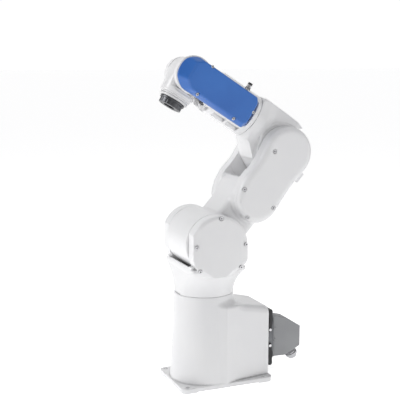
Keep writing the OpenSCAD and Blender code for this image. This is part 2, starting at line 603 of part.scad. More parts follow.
base_casting();
j1_motor();
j1_reducer();
j1_bearing_outer();
j1_bearing_balls();
j1_seal();
connector_base();
connector_screws();
connector_hood();
latch_pins();
cable_gland();
gland_cap();
upper_latch();
lower_latch();
turret_casting();
j1_bearing_inner();
left_shoulder_cover();
right_shoulder_cover();
shoulder_cover_screws();
j2_motor();
j2_reducer();
j2_support_bearing();
upper_arm_casting();
j2_output_flange();
j2_trunnion();
left_arm_cover();
right_arm_cover();
arm_cover_screws();
j3_motor();
j3_motor_pulley();
j3_belt();
j3_input_pulley();
j3_reducer();
j3_support_bearing();
arm_cable_boss();
elbow_housing();
j3_output_flange();
j3_trunnion();
j4_motor();
j4_reducer();
j4_bearing_outer();
forearm_casting();
j4_bearing_inner();
forearm_cover();
forearm_cover_screws();
air_fitting_body();
air_fitting_sleeve();
j5_motor();
j5_motor_pulley();
j5_belt();
j5_input_pulley();
j5_reducer();
j5_support_bearing();
wrist_housing();
j5_trunnion();
j6_motor();
j6_reducer();
wrist_ring();
tool_flange();
flange_seal();
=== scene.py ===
import bpy
import math
import numpy as np
from mathutils import Matrix, Vector


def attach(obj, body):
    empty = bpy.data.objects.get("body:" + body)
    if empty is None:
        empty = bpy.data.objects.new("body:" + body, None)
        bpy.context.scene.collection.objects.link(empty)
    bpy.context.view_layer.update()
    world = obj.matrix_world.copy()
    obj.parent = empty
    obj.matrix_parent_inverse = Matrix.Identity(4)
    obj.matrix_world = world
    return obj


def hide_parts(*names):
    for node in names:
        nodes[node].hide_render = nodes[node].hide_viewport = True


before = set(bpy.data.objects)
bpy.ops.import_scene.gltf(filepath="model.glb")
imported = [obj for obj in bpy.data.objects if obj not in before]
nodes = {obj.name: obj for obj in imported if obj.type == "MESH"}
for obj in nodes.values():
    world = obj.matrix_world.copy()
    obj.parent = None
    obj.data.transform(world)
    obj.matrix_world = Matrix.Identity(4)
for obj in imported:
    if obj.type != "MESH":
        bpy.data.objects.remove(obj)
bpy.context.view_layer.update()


# ---------------------------------------------------------------- frames, in millimetres
def rot_y(deg):
    a = math.radians(deg)
    c, s = math.cos(a), math.sin(a)
    return np.array([[c, 0, s], [0, 1, 0], [-s, 0, c]])


def shift(fr, p):
    return fr[0], fr[1] + fr[0] @ np.array(p, float)


ROW = (np.eye(3), np.zeros(3))
ARM = (rot_y(-42.25), np.array([0.0, 0.0, 395.0]))
ELBOW = (rot_y(-32.4), shift(ARM, (0, 0, 310))[1])
FORE = shift(ELBOW, (0, 0, 42))
WRIST = shift(FORE, (328, 0, 0))
GLAND = (rot_y(-153.93), np.array([-266.5, 0.0, 54.5]))


# ---------------------------------------------------------------- distance functions
def hyp(a, b):
    return np.sqrt(a * a + b * b)


def U(a, b, r=0.0):
    if r <= 0:
        return np.minimum(a, b)
    return np.maximum(r, np.minimum(a, b)) - hyp(np.maximum(r - a, 0), np.maximum(r - b, 0))


def I(a, b, r=0.0):
    if r <= 0:
        return np.maximum(a, b)
    return np.minimum(-r, np.maximum(a, b)) + hyp(np.maximum(r + a, 0), np.maximum(r + b, 0))


def D(a, b, r=0.0):
    return I(a, -b, r)


def slab(w, lo, hi):
    return np.abs(w - (lo + hi) / 2) - (hi - lo) / 2


def rect(a, b, a0, a1, b0, b1, r=0.0):
    qa, qb = slab(a, a0, a1) + r, slab(b, b0, b1) + r
    return hyp(np.maximum(qa, 0), np.maximum(qb, 0)) + np.minimum(np.maximum(qa, qb), 0) - r


def box(x, y, z, lo, hi, r=0.0):
    return I(I(slab(x, lo[0], hi[0]), slab(z, lo[2], hi[2]), r), slab(y, lo[1], hi[1]), r)


def disc(a, b, ca, cb, rad):
    return hyp(a - ca, b - cb) - rad


def tube_y(x, y, z, cx, cz, rad, y0, y1, r=0.0):
    return I(disc(x, z, cx, cz, rad), slab(y, y0, y1), r)


def poly(a, b, pts):
    a, b = np.broadcast_arrays(a, b)
    d = np.full(a.shape, 1e12)
    s = np.ones(a.shape, bool)
    for i in range(len(pts)):
        ax, az = pts[i]
        bx, bz = pts[i - 1]
        ex, ez = bx - ax, bz - az
        wx, wz = a - ax, b - az
        t = np.clip((wx * ex + wz * ez) / (ex * ex + ez * ez), 0, 1)
        dx, dz = wx - ex * t, wz - ez * t
        d = np.minimum(d, dx * dx + dz * dz)
        c1, c2, c3 = b >= az, b < bz, ex * wz > ez * wx
        s ^= (c1 & c2 & c3) | ~(c1 | c2 | c3)
    return np.where(s, 1.0, -1.0) * np.sqrt(d)


def chaikin(pts, n=1, keep=()):
    """Rounds an outline's corners by cutting them, apart from the ones kept."""
    for _ in range(n):
        out, kept = [], set()
        m = len(pts)
        for i in range(m):
            p, q, o = np.array(pts[i], float), np.array(pts[(i + 1) % m], float), np.array(pts[i - 1], float)
            if i in keep:
                kept.add(len(out))
                out.append(tuple(p))
            else:
                out.append(tuple(p * 0.75 + o * 0.25))
                out.append(tuple(p * 0.75 + q * 0.25))
        pts, keep = out, kept
    return pts


# ---------------------------------------------------------------- isosurface by dual contouring
def contour(fn, lo, hi, h):
    off = np.array([0.371, 0.417, 0.293]) * h
    ax = [np.arange(lo[i] - 2.2 * h - off[i], hi[i] + 3.2 * h, h) for i in range(3)]
    V = fn(ax[0][:, None, None], ax[1][None, :, None], ax[2][None, None, :])
    V = np.ascontiguousarray(np.broadcast_to(V, tuple(len(a) for a in ax)))
    S = V < 0
    org = np.array([a[0] for a in ax])
    n1, n2 = V.shape[1], V.shape[2]
    strides = np.array([n1 * n2, n2, 1])
    P, C, Q = [], [], []
    for a in range(3):
        s0, s1 = [slice(None)] * 3, [slice(None)] * 3
        s0[a], s1[a] = slice(0, -1), slice(1, None)
        s0, s1 = tuple(s0), tuple(s1)
        idx = np.argwhere(S[s0] != S[s1])
        v0 = V[idx[:, 0], idx[:, 1], idx[:, 2]]
        j = idx.copy()
        j[:, a] += 1
        v1 = V[j[:, 0], j[:, 1], j[:, 2]]
        p = idx.astype(float)
        p[:, a] += v0 / (v0 - v1)
        b, c = (a + 1) % 3, (a + 2) % 3
        cells = []
        for db, dc in ((-1, -1), (0, -1), (0, 0), (-1, 0)):
            q = idx.copy()
            q[:, b] += db
            q[:, c] += dc
            cells.append(q @ strides)
        cells = np.stack(cells, 1)
        P.append(org + p * h)
        C.append(cells)
        Q.append(np.where((v0 < 0)[:, None], cells, cells[:, ::-1]))
    P, C, Q = np.concatenate(P), np.concatenate(C), np.concatenate(Q)
    N = gradient(fn, P, 0.04 * h)
    ids, inv = np.unique(C.ravel(), return_inverse=True)
    m = len(ids)
    rep = np.repeat(np.arange(len(P)), 4)
    cnt = np.bincount(inv, minlength=m).astype(float)
    mass = np.stack([np.bincount(inv, P[rep, k], m) for k in range(3)], 1) / cnt[:, None]
    n, p = N[rep], P[rep] - mass[inv]
    A = np.zeros((m, 3, 3))
    for i in range(3):
        for k in range(i, 3):
            A[:, i, k] = A[:, k, i] = np.bincount(inv, n[:, i] * n[:, k], m)
    d = np.sum(n * p, 1)
    B = np.stack([np.bincount(inv, n[:, k] * d, m) for k in range(3)], 1)
    A += np.eye(3) * (0.04 * cnt)[:, None, None]
    X = np.linalg.solve(A, B[:, :, None])[:, :, 0]
    length = np.linalg.norm(X, axis=1, keepdims=True)
    X *= np.minimum(1.0, 0.9 * h / np.maximum(length, 1e-9))
    V3 = np.clip(mass + X, np.array(lo, float), np.array(hi, float))
    at = np.searchsorted(ids, Q)
    return V3, at


def gradient(fn, P, e):
    k = ((1, -1, -1), (-1, -1, 1), (-1, 1, -1), (1, 1, 1))
    g = np.zeros_like(P)
    for s in k:
        f = fn(P[:, 0] + s[0] * e, P[:, 1] + s[1] * e, P[:, 2] + s[2] * e)
        g += np.array(s)[None, :] * f[:, None]
    return g / np.maximum(np.linalg.norm(g, axis=1, keepdims=True), 1e-12)


def make_mesh(name, verts, faces, fr, angle=38.0):
    """A mesh from millimetres in a local frame, smooth with its sharp edges kept."""
    co = (np.asarray(verts) @ fr[0].T + fr[1]) / 1000.0
    me = bpy.data.meshes.new(name)
    if isinstance(faces, np.ndarray):
        k = faces.shape[1]
        me.vertices.add(len(co))
        me.vertices.foreach_set("co", co.astype(np.float32).ravel())
        me.loops.add(faces.size)
        me.loops.foreach_set("vertex_index", faces.astype(np.int32).ravel())
        me.polygons.add(len(faces))
        me.polygons.foreach_set("loop_start", np.arange(0, faces.size, k, dtype=np.int32))
        me.update(calc_edges=True)
    else:
        me.from_pydata([tuple(c) for c in co], [], faces)
    me.validate()
    me.shade_smooth()
    me.set_sharp_from_angle(angle=math.radians(angle))
    ob = bpy.data.objects.new(name, me)
    bpy.context.scene.collection.objects.link(ob)
    return ob


def finish_piece(ob, body, mat, stands_for):
    ob.data.materials.append(mat)
    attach(ob, body)
    if stands_for:
        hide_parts(*stands_for)
    return ob


def casting(name, fn, lo, hi, h, fr, body, mat, stands_for, angle=38.0):
    v, q = contour(fn, lo, hi, h)
    return finish_piece(make_mesh(name, v, q, fr, angle), body, mat, stands_for)


# ---------------------------------------------------------------- materials
def new_material(name):
    m = bpy.data.materials.new(name)
    m.use_nodes = True
    nt = m.node_tree
    nt.nodes.clear()
    out = nt.nodes.new("ShaderNodeOutputMaterial")
    b = nt.nodes.new("ShaderNodeBsdfPrincipled")
    nt.links.new(b.outputs[0], out.inputs[0])
    return m, nt, b


def ramp(nt, fac, stops):
    n = nt.nodes.new("ShaderNodeValToRGB")
    e = n.color_ramp.elements
    while len(e) < len(stops):
        e.new(0.5)
    for i, (p, c) in enumerate(stops):
        e[i].position = p
        e[i].color = (*c, 1) if len(c) == 3 else c
    nt.links.new(fac, n.inputs["Fac"])
    return n.outputs["Color"]


def noise(nt, scale, detail=4.0, rough=0.55, stretch=None):
    tc = nt.nodes.new("ShaderNodeTexCoord")
    src = tc.outputs["Object"]
    if stretch:
        mp = nt.nodes.new("ShaderNodeMapping")
        mp.inputs["Scale"].default_value = stretch
        nt.links.new(src, mp.inputs["Vector"])
        src = mp.outputs["Vector"]
    n = nt.nodes.new("ShaderNodeTexNoise")
    n.inputs["Scale"].default_value = scale
    n.inputs["Detail"].default_value = detail
    n.inputs["Roughness"].default_value = rough
    nt.links.new(src, n.inputs["Vector"])
    return n.outputs["Fac"]


def mix(nt, fac, a, b, mode="MIX"):
    n = nt.nodes.new("ShaderNodeMix")
    n.data_type = "RGBA"
    n.blend_type = mode
    for sock, v in ((n.inputs[0], fac), (n.inputs[6], a), (n.inputs[7], b)):
        if isinstance(v, (int, float)):
            sock.default_value = v
        elif isinstance(v, tuple):
            sock.default_value = (*v, 1)
        else:
            nt.links.new(v, sock)
    return n.outputs[2]


def bump(nt, b, height, strength, distance):
    n = nt.nodes.new("ShaderNodeBump")
    n.inputs["Strength"].default_value = strength
    n.inputs["Distance"].default_value = distance
    nt.links.new(height, n.inputs["Height"])
    nt.links.new(n.outputs["Normal"], b.inputs["Normal"])
    return n


def pointy(nt, lo, hi):
    g = nt.nodes.new("ShaderNodeNewGeometry")
    return ramp(nt, g.outputs["Pointiness"], [(lo, (0, 0, 0)), (hi, (1, 1, 1))])


def paint(name, base, dark, edge, rough=(0.3, 0.42), peel=0.00005, coat=0.25, hollow_shade_depth=0.35):
    """Sprayed enamel on a casting: orange peel, faint tone shifts, rubbed edges, painted shade darkening the hollows.
    """
    m, nt, b = new_material(name)
    big = noise(nt, 7.0, 3.0)
    fine = noise(nt, 420.0, 2.0)
    mid = noise(nt, 60.0, 5.0, 0.6)
    tone = ramp(nt, big, [(0.35, dark), (0.65, base)])
    # painted shade: concave hollows (low pointiness) are darkened to a shaded copy of the dark tone
    hollow_shade_mask = pointy(nt, 0.44, 0.495)
    col = mix(nt, hollow_shade_mask, tuple(c * (1 - hollow_shade_depth) for c in dark), tone)
    worn = mix(nt, 1.0, pointy(nt, 0.53, 0.6), ramp(nt, mid, [(0.5, (0, 0, 0)), (0.62, (1, 1, 1))]), "MULTIPLY")
    col = mix(nt, worn, col, edge)
    nt.links.new(col, b.inputs["Base Color"])
    nt.links.new(ramp(nt, mid, [(0.3, (rough[0],) * 3), (0.7, (rough[1],) * 3)]), b.inputs["Roughness"])
    b.inputs["Coat Weight"].default_value = coat
    b.inputs["Coat Roughness"].default_value = 0.14
    b.inputs["Specular IOR Level"].default_value = 0.5
    bump(nt, b, fine, 0.35, peel)
    return m


def metal(name, base, dark, rough=(0.22, 0.38), stretch=None, scale=90.0, depth=0.00004):
    """Turned or plated metal: fine tool marks, uneven polish, painted shade darkening the hollows."""
    m, nt, b = new_material(name)
    marks = noise(nt, scale, 6.0, 0.7, stretch)
    blotch = noise(nt, 14.0, 3.0)
    tone = ramp(nt, blotch, [(0.3, dark), (0.7, base)])
    # painted shade: concave hollows (low pointiness) are darkened to 0.45 of the dark tone
    col = mix(nt, pointy(nt, 0.42, 0.49), tuple(c * 0.45 for c in dark), tone)
    nt.links.new(col, b.inputs["Base Color"])
    nt.links.new(ramp(nt, marks, [(0.3, (rough[0],) * 3), (0.7, (rough[1],) * 3)]), b.inputs["Roughness"])
    b.inputs["Metallic"].default_value = 1.0
    bump(nt, b, marks, 0.4, depth)
    return m


def plastic(name, base, dark, rough=(0.35, 0.5), grain=0.00008, scale=900.0, spec=0.5):
    """Moulded plastic or rubber: fine grain, soft tone shifts, paler rubbed edges."""
    m, nt, b = new_material(name)
    grain_n = noise(nt, scale, 3.0, 0.6)
    blotch = noise(nt, 18.0, 4.0)
    tone = ramp(nt, blotch, [(0.3, dark), (0.7, base)])
    edge = mix(nt, 1.0, pointy(nt, 0.52, 0.6), ramp(nt, noise(nt, 70.0), [(0.45, (0, 0, 0)), (0.6, (1, 1, 1))]), "MULTIPLY")
    col = mix(nt, edge, tone, tuple(min(1.0, c * 1.5 + 0.03) for c in base))
    nt.links.new(col, b.inputs["Base Color"])
    nt.links.new(ramp(nt, blotch, [(0.3, (rough[0],) * 3), (0.7, (rough[1],) * 3)]), b.inputs["Roughness"])
    b.inputs["Specular IOR Level"].default_value = spec
    bump(nt, b, grain_n, 0.5, grain)
    return m


WHITE = paint("white_enamel", (0.80, 0.80, 0.805), (0.775, 0.775, 0.785), (0.66, 0.66, 0.67))
WRISTW = paint("wrist_enamel", (0.74, 0.74, 0.745), (0.69, 0.69, 0.7), (0.55, 0.55, 0.56), coat=0.15)
BLUE = paint("blue_cover_lacquer", (0.030, 0.155, 0.52), (0.022, 0.13, 0.47), (0.12, 0.28, 0.62), (0.3, 0.42), 0.00004, 0.3, 0.3)
HOODG = paint("hood_grey_powder", (0.33, 0.335, 0.345), (0.29, 0.295, 0.305), (0.42, 0.42, 0.43), (0.5, 0.62), 0.00012, 0.0, 0.3)
RIMG = paint("hood_rim_grey", (0.42, 0.425, 0.43), (0.38, 0.385, 0.39), (0.55, 0.55, 0.56), (0.45, 0.55), 0.0001, 0.0, 0.3)
DARKM = metal("connector_frame_metal", (0.23, 0.235, 0.245), (0.16, 0.165, 0.175), (0.42, 0.58), scale=160.0)
LEVER = plastic("lever_black", (0.02, 0.02, 0.022), (0.012, 0.012, 0.014), (0.3, 0.45))
CHROME = metal("gland_chrome", (0.5, 0.5, 0.515), (0.36, 0.36, 0.375), (0.06, 0.16), scale=240.0, depth=0.00001)
STEEL = metal("screw_steel", (0.72, 0.72, 0.73), (0.55, 0.55, 0.57), (0.2, 0.32), scale=400.0)
FLANGE = metal("flange_black_oxide", (0.14, 0.142, 0.15), (0.07, 0.072, 0.078), (0.3, 0.46), scale=220.0)
RING = metal("ring_satin", (0.8, 0.8, 0.8), (0.68, 0.68, 0.69), (0.3, 0.42), scale=200.0)
MACH = metal("machined_steel", (0.6, 0.6, 0.62), (0.45, 0.45, 0.47), (0.25, 0.4), (1, 6, 1), 120.0)
BEAR = metal("bearing_steel", (0.72, 0.73, 0.75), (0.6, 0.61, 0.63), (0.12, 0.22), scale=260.0, depth=0.00001)
MOTOR = plastic("motor_black", (0.03, 0.032, 0.035), (0.018, 0.019, 0.021), (0.45, 0.6), 0.0002, 700.0)
BELT = plastic("belt_rubber", (0.018, 0.018, 0.018), (0.01, 0.01, 0.01), (0.7, 0.85), 0.0003, 500.0, 0.3)
SEAL = plastic("seal_rubber", (0.02, 0.02, 0.021), (0.012, 0.012, 0.012), (0.6, 0.75), 0.0001, 800.0, 0.3)
PULLEY = metal("pulley_aluminium", (0.66, 0.67, 0.69), (0.55, 0.56, 0.58), (0.3, 0.45), scale=180.0)
BLACKP = plastic("fitting_black", (0.022, 0.022, 0.024), (0.012, 0.012, 0.013), (0.28, 0.4))

# ---------------------------------------------------------------- base
BOX_SIDE = [(0, 2), (0, 236), (-72, 236), (-79, 226), (-90, 221), (-200, 199), (-200, 2)]
BOX_PLAN = [(10, 60), (-30, 90), (-200, 65.4), (-200, -65.4), (-30, -90), (10, -60)]
CAV_PLAN = [(-40, 80), (-159, 62), (-159, -62), (-40, -80)]


def sdf_base(x, y, z):
    front = rect(x, y, -168, 98, -94, 94, 16)
    plate = I(front, slab(z, 0, 14), 1.6)
    k = 12.5 / 238
    col = (hyp(x, y) - (93.5 - k * (z - 14))) / math.sqrt(1 + k * k)
    col = np.maximum(I(col, z - 252, 1.4), 2 - z)
    side = I(poly(x, z, BOX_SIDE), poly(x, y, BOX_PLAN), 20)
    side = I(I(side, -168 - x, 9), z - 224, 4)
    body = U(col, side, 18)
    d = U(body, plate, 2.0)
    relief = np.maximum(np.minimum(np.abs(x + 35) - 91, np.abs(y) - 56), z - 2.5)
    relief = np.maximum(relief, 44 - hyp(x, y))
    d = np.maximum(d, -relief)
    for bx_ in (-140, 80):
        for by in (-82, 82):
            d = D(d, np.maximum(disc(x, y, bx_, by, 6), z - 40), 0.8)
    d = np.maximum(d, -np.maximum(disc(x, y, 0, 0, 30), z - 29))
    d = np.maximum(d, -np.maximum(disc(x, y, -97, 89, 2.2), z - 30))
    kc = 12.0 / 176
    cav = np.maximum(hyp(x, y) - (84 - kc * (z - 14)), slab(z, 14, 190))
    cav = np.minimum(cav, np.maximum(hyp(x, y) - 60, slab(z, 150, 260)))
    cav = np.minimum(cav, np.maximum(poly(x, y, CAV_PLAN), slab(z, 14, 188)))
    cav = np.minimum(cav, box(x, y, z, (-174, -16, 40), (-156, 16, 168)))
    d = np.maximum(d, -cav)
    for zz in (36, 172):
        for yy in (-20, 20):
            d = np.maximum(d, -np.maximum(disc(y, z, yy, zz, 2.5), x + 157))
    return d


casting("base_body", sdf_base, (-170, -95, 0), (99, 95, 253), 2.6, ROW, "base", WHITE, ["base_casting"])

# ---------------------------------------------------------------- turret
EAR = chaikin([(-80, 6), (-83, -10), (-83, -48), (-64, -63), (-42, -84), (38, -84), (58, -64), (73, -40), (73, 0)], 1, keep=(0, 8))


def ear_out(x, z):
    return np.maximum(np.minimum(disc(x, z, 0, 395, 80), poly(x, z - 395, EAR)), x - 73.0)


def sdf_turret(x, y, z):
    t = np.clip((z - 252.6) / (326 - 252.6), 0, 1.0)
    hy = 81 + 23 * t ** 1.6
    x0, x1 = -81 - 2 * t, 81 - 4 * t
    rc = np.maximum(81 - 61 * t ** 2.2, 20)
    rc = np.minimum(rc, np.minimum(hy, (x1 - x0) / 2) - 0.01)
    cx, hx = (x0 + x1) / 2, (x1 - x0) / 2
    qx, qy = np.abs(x - cx) - hx + rc, np.abs(y) - hy + rc
    neck = hyp(np.maximum(qx, 0), np.maximum(qy, 0)) + np.minimum(np.maximum(qx, qy), 0) - rc
    neck = neck * 0.9
    neck = I(neck, slab(z, 252.6, 333), 1.4)
    neck = I(neck, x - (76.5 - 4.5 * np.clip((z - 256) / 80, 0, 1.2)), 2.2)
    ears = I(ear_out(x, z), slab(np.abs(y), 71.3, 104), 2.5)
    lip = box(x, y, z, (50, -88, 322), (72.5, 88, 341), 2.5)
    d = U(U(neck, ears, 5), lip, 3)
    pocket = np.maximum(disc(x, z, 0, 395, 89), np.abs(y) - 71.3)
    d = D(d, pocket, 1.5)
    d = np.maximum(d, -box(x, y, z, (-60, -71.3, 337), (100, 71.3, 380)))
    spigot = np.maximum(hyp(x, y) - 38, slab(z, 236.6, 256))
    d = np.minimum(d, spigot)
    d = np.maximum(d, -np.maximum(hyp(x, y) - 30, slab(z, 230, 330)))
    d = np.maximum(d, -tube_y(x, y, z, 0, 395, 56, -105, -70.3))
    d = np.maximum(d, -tube_y(x, y, z, 0, 395, 42, 70.3, 105))
    d = np.maximum(d, -np.maximum(disc(x, z, 0, 395, 66), 92 - np.abs(y)))
    return d


casting("turret_body", sdf_turret, (-84, -105, 236), (82, 105, 476), 2.4, ROW, "turret", WHITE, ["turret_casting"])

SCR = [(66, 2), (-3, 74), (56, -62), (-75, 0), (-61, -60)]


def notch(a, b, p, c, rad, reach):
    """A round seat at p that runs out to the rim, away from c."""
    d = np.array(p, float) - np.array(c, float)
    d /= np.linalg.norm(d)
    u = (a - p[0]) * d[0] + (b - p[1]) * d[1]
    v = -(a - p[0]) * d[1] + (b - p[1]) * d[0]
    return hyp(u - np.clip(u, 0, reach), v) - rad


def sdf_shoulder_cover(x, y, z):
    w = z - 395
    d = I(ear_out(x, z), slab(y, 104.05, 111), 1.4)
    for nx, px, top in ((1, 50, 7.0), (-1, -60, 6.0)):
        run = 30.0 if nx > 0 else 22.0
        n = hyp(top, run)
        plane = ((y - 111) * run + (nx * (x - px)) * top) / n
        d = I(d, plane, 1.2)
    for ang in (-128, -52):
        a = math.radians(ang)
        plane = (x * math.cos(a) + w * math.sin(a) - 82) * 0.5 + (y - 107.5) * 0.87
        d = I(d, plane, 1.0)
    d = I(d, (hyp(x, np.maximum(w, 0)) - 76) * 0.45 + (y - 109.6) * 0.89, 1.2)
    for p in SCR:
        d = D(d, np.maximum(notch(x, w, p, (0, 0), 6.4, 30), 106.6 - y), 0.6)
    d = np.maximum(d, -np.maximum(disc(x, w, 0, 0, 64), y - 107))
    return d


casting("left_shoulder_shell", sdf_shoulder_cover, (-84, 104, 310), (81, 111.5, 476), 1.5, ROW, "turret", WHITE, ["left_shoulder_cover"])
casting("right_shoulder_shell", lambda x, y, z: sdf_shoulder_cover(x, -y, z), (-84, -111.5, 310), (81, -104, 476), 1.5, ROW, "turret", WHITE, ["right_shoulder_cover"])

# ---------------------------------------------------------------- upper arm
BEAN = [(71, 300), (62, 268), (57, 244), (55, 218), (57, 188), (52, 165), (44, 142), (34, 124), (18, 111), (-4, 104), (-26, 103), (-46, 109), (-61, 121), (-72, 142), (-76, 165), (-71, 200), (-67, 240), (-66, 270), (-68, 305)]
BEAN_S = chaikin(BEAN, 1, keep=(0, 18))
WEB = [(43, 90), (46, 140), (50, 165), (47, 184), (38, 192), (15, 198), (-66, 198), (-90, 198), (-90, 90)]


def bean(x, z):
    return np.minimum(disc(x, z, 2, 313, 70), poly(x, z, BEAN_S))


def sdf_arm(x, y, z):
    drum = I(disc(x, z, 0, 0, 80), np.abs(y) - 70.6, 2.2)
    neck = I(I(slab(x, -68, 41), slab(z, 0, 172), 1), np.abs(y) - 57, 14)
    bn = bean(x, z)
    lobes = I(bn, slab(np.abs(y), 52, 80), 1.2)
    web = I(I(bn, poly(x, z, WEB), 5), np.abs(y) - 60, 1)
    body = U(neck, web, 10)
    body = U(body, lobes, 9)
    d = U(body, drum, 5)
    saddle = np.maximum(disc(x, z, 0, 310, 112), np.abs(y) - 52)
    d = D(d, saddle, 4)
    d = np.maximum(d, -tube_y(x, y, z, 0, 0, 50, -80, -19))
    d = np.maximum(d, -tube_y(x, y, z, 0, 0, 46, -25, 0))
    d = np.maximum(d, -tube_y(x, y, z, 0, 0, 34, 58.6, 72))
    d = np.maximum(d, -tube_y(x, y, z, 0, 0, 16, -5, 90))
    d = np.maximum(d, -tube_y(x, y, z, -14, 152, 32, -40, 81))
    d = np.maximum(d, -box(x, y, z, (-30, -52, 60), (20, -10, 150)))
    d = np.maximum(d, -tube_y(x, y, z, 0, 310, 50, 51, 81))
    d = np.maximum(d, -tube_y(x, y, z, 0, 310, 32, -81, -51))
    d = np.maximum(d, -tube_y(x, y, z, -6, 200, 26, -81, -62))
    return d


casting("upper_arm_body", sdf_arm, (-81, -81, -81), (81, 81, 384), 2.5, ARM, "upper_arm", WHITE, ["upper_arm_casting"])

ASC = [(40, 288), (40, 158), (-19, 108), (-60, 175)]


def sdf_arm_cover(x, y, z):
    bn = bean(x, z)
    d = I(bn * 0.7, y - 95, 13)
    d = I(d, 80.25 - y, 0.8)
    for p in ASC:
        d = D(d, np.maximum(disc(x, z, p[0], p[1], 6.2), 90 - y), 0.7)
    inner = np.maximum(bn + 9, y - 91)
    d = np.maximum(d, -np.maximum(inner, 79 - y))
    return d


def sdf_arm_posts(x, y, z):
    d = sdf_arm_cover(x, y, z)
    for p in ASC:
        post = np.maximum(disc(x, z, p[0], p[1], 7.5), slab(y, 80.25, 90))
        d = np.minimum(d, np.maximum(post, bean(x, z) + 1))
    return d


casting("left_arm_shell", sdf_arm_posts, (-77, 80, 102), (73, 95.5, 384), 2.0, ARM, "upper_arm", WHITE, ["left_arm_cover"])
casting("right_arm_shell", lambda x, y, z: sdf_arm_posts(x, -y, z), (-77, -95.5, 102), (73, -80, 384), 2.0, ARM, "upper_arm", WHITE, ["right_arm_cover"])

# ---------------------------------------------------------------- elbow
GUSSET = [(0, 73), (-24, 91), (0, 97), (60, 100), (110, 100), (119, 80), (102, -20), (93, -26), (76, -42), (63, -54), (40, -62), (0, -60)]


def sdf_elbow(x, y, z):
    drum = I(disc(x, z, 0, 0, 74), np.abs(y) - 51.4, 3)
    barrel = I(hyp(y, z - 42) - 60, slab(x, -4, 119.7), 1.4)
    core = np.maximum(slab(y, -40, 40), poly(x, z, GUSSET))
    near = np.maximum(np.abs(y) - 51.4, 0 * x)
    flat = I(barrel, near, 10)
    whole = np.where(x + 0 * y + 0 * z < 82, flat, barrel)
    blend = np.clip((x - 70) / 24, 0, 1)
    whole = flat * (1 - blend) + barrel * blend
    d = U(U(drum, core, 8), whole, 16)
    limit = np.abs(y) - (51.4 + 9 * np.clip((hyp(x, z) - 79) / 16, 0, 1) ** 0.7)
    d = I(d, limit * 0.7, 2)
    d = np.maximum(d, -np.maximum(hyp(y, z - 42) - 36, slab(x, -40, 92)))
    d = np.maximum(d, -np.maximum(hyp(y, z - 42) - 46, slab(x, 72, 125)))
    d = np.maximum(d, x - 119.7)
    d = np.maximum(d, -tube_y(x, y, z, 0, 0, 33.5, 40, 60))
    d = np.maximum(d, -tube_y(x, y, z, 0, 0, 19, -60, -30))
    d = np.maximum(d, -tube_y(x, y, z, 0, 0, 14, -31, 41))
    return d


casting("elbow_body", sdf_elbow, (-75, -61, -75), (120, 61, 103), 2.2, ELBOW, "elbow", WHITE, ["elbow_housing"])

# ---------------------------------------------------------------- forearm
REL = [(0, 6), (-47.9, 6), (-72, -35.7), (-79.2, -48.2), (-98, -81), (0, -81)]
REL2 = [(20, -90), (20, -40), (-44, -24), (-55, -28), (-80, -70), (-90, -90)]


def sdf_forearm(x, y, z):
    tube = hyp(y, z) - 60
    ring = I(tube, slab(x, 120.6, 132.5), 1.4)
    body = I(I(tube, slab(x, 130.5, 300), 1), y - 45, 1.5)
    arms = U(tube_y(x, y, z, 328, 0, 50, 10, 45, 3), tube_y(x, y, z, 328, 0, 46.5, -51, 20, 5), 1)
    cheek = box(x, y, z, (262, -54, -50), (328, 45, 50), 5)
    d = U(U(body, U(arms, cheek, 1), 8), ring, 2)
    slot = np.maximum(np.abs(y) - 30.3, 279 - x)
    d = D(d, slot, 1.5)
    for m in (1, -1):
        a = np.maximum(np.abs(y) - 30.5, poly(x - 328, z * m, REL))
        b = np.maximum(np.abs(y) - 44, np.maximum(poly(x - 328, z * m, REL2), 51 - hyp(x - 328, z)))
        d = D(D(d, a, 1), b, 1.2)
    d = np.maximum(d, -np.maximum(hyp(y, z) - 46, slab(x, 136, 264)))
    d = np.maximum(d, -box(x, y, z, (146, 20, -34), (262, 46, 34)))
    d = np.maximum(d, -tube_y(x, y, z, 328, 0, 36, 29, 46))
    d = np.maximum(d, -tube_y(x, y, z, 328, 0, 20, -48, -29))
    d = np.maximum(d, -np.maximum(hyp(y, z) - 20, slab(x, 100, 140)))
    for s0, s1 in ((139, 178), (184, 224), (243, 292)):
        d = D(d, box(x, y, z, (s0, 18, -72), (s1, 62, -47), 2), 0.8)
    return d


casting("forearm_body", sdf_forearm, (120, -61, -61), (379, 61, 61), 2.0, FORE, "forearm", WHITE, ["forearm_casting"])

FCS = [(300, -40), (179, -40), (302, 42), (139, 3)]
PLATEAU = [(142, -38), (313, -38), (343, -19), (346, 31), (317, 39), (181, 41), (142, 36), (150, 23)]


def sdf_blue(x, y, z):
    outline = np.minimum(disc(x, z, 328, 0, 46.5), rect(x, z, 132, 328, -46.5, 46.5, 3))
    d = I(outline, y - 67, 2.0)

    def facet(px, pz, ang, lean, r=2.5):
        nonlocal d
        a, l = math.radians(ang), math.radians(lean)
        n = (math.cos(a) * math.cos(l), math.sin(l), math.sin(a) * math.cos(l))
        d = I(d, ((x - px) * math.cos(a) + (z - pz) * math.sin(a)) * math.cos(l) + (y - 67) * math.sin(l), r)

    facet(0, -38, -90, 24.4)
    facet(0, 41, 90, 17.6)
    facet(344, 0, 0, 53.8)
    facet(331, -31, -52, 42.5)
    facet(334, 36, 55, 42.5)
    facet(142, 0, 180, 24.4)
    facet(146, -32, -145, 28)
    facet(146, 34, 142, 26)
    inner = np.maximum(d + 3.4, 44 - y)
    d = I(d, 45.05 - y, 0.6)
    for p in FCS:
        d = D(d, np.maximum(disc(x, z, p[0], p[1], 5.0), 58.8 - y), 0.6)
    for p in FCS:
        inner = np.maximum(inner, 6.2 - disc(x, z, p[0], p[1], 0))
    d = np.maximum(d, -inner)
    return d


casting("blue_cover", sdf_blue, (131, 45, -47), (375, 67.5, 47), 1.5, FORE, "forearm", BLUE, ["forearm_cover"], 24.0)

# ---------------------------------------------------------------- wrist
PROF = [(0, 0), (52, 0), (54, -24), (47.5, -43), (44.5, -57), (43, -67), (0, -67)]


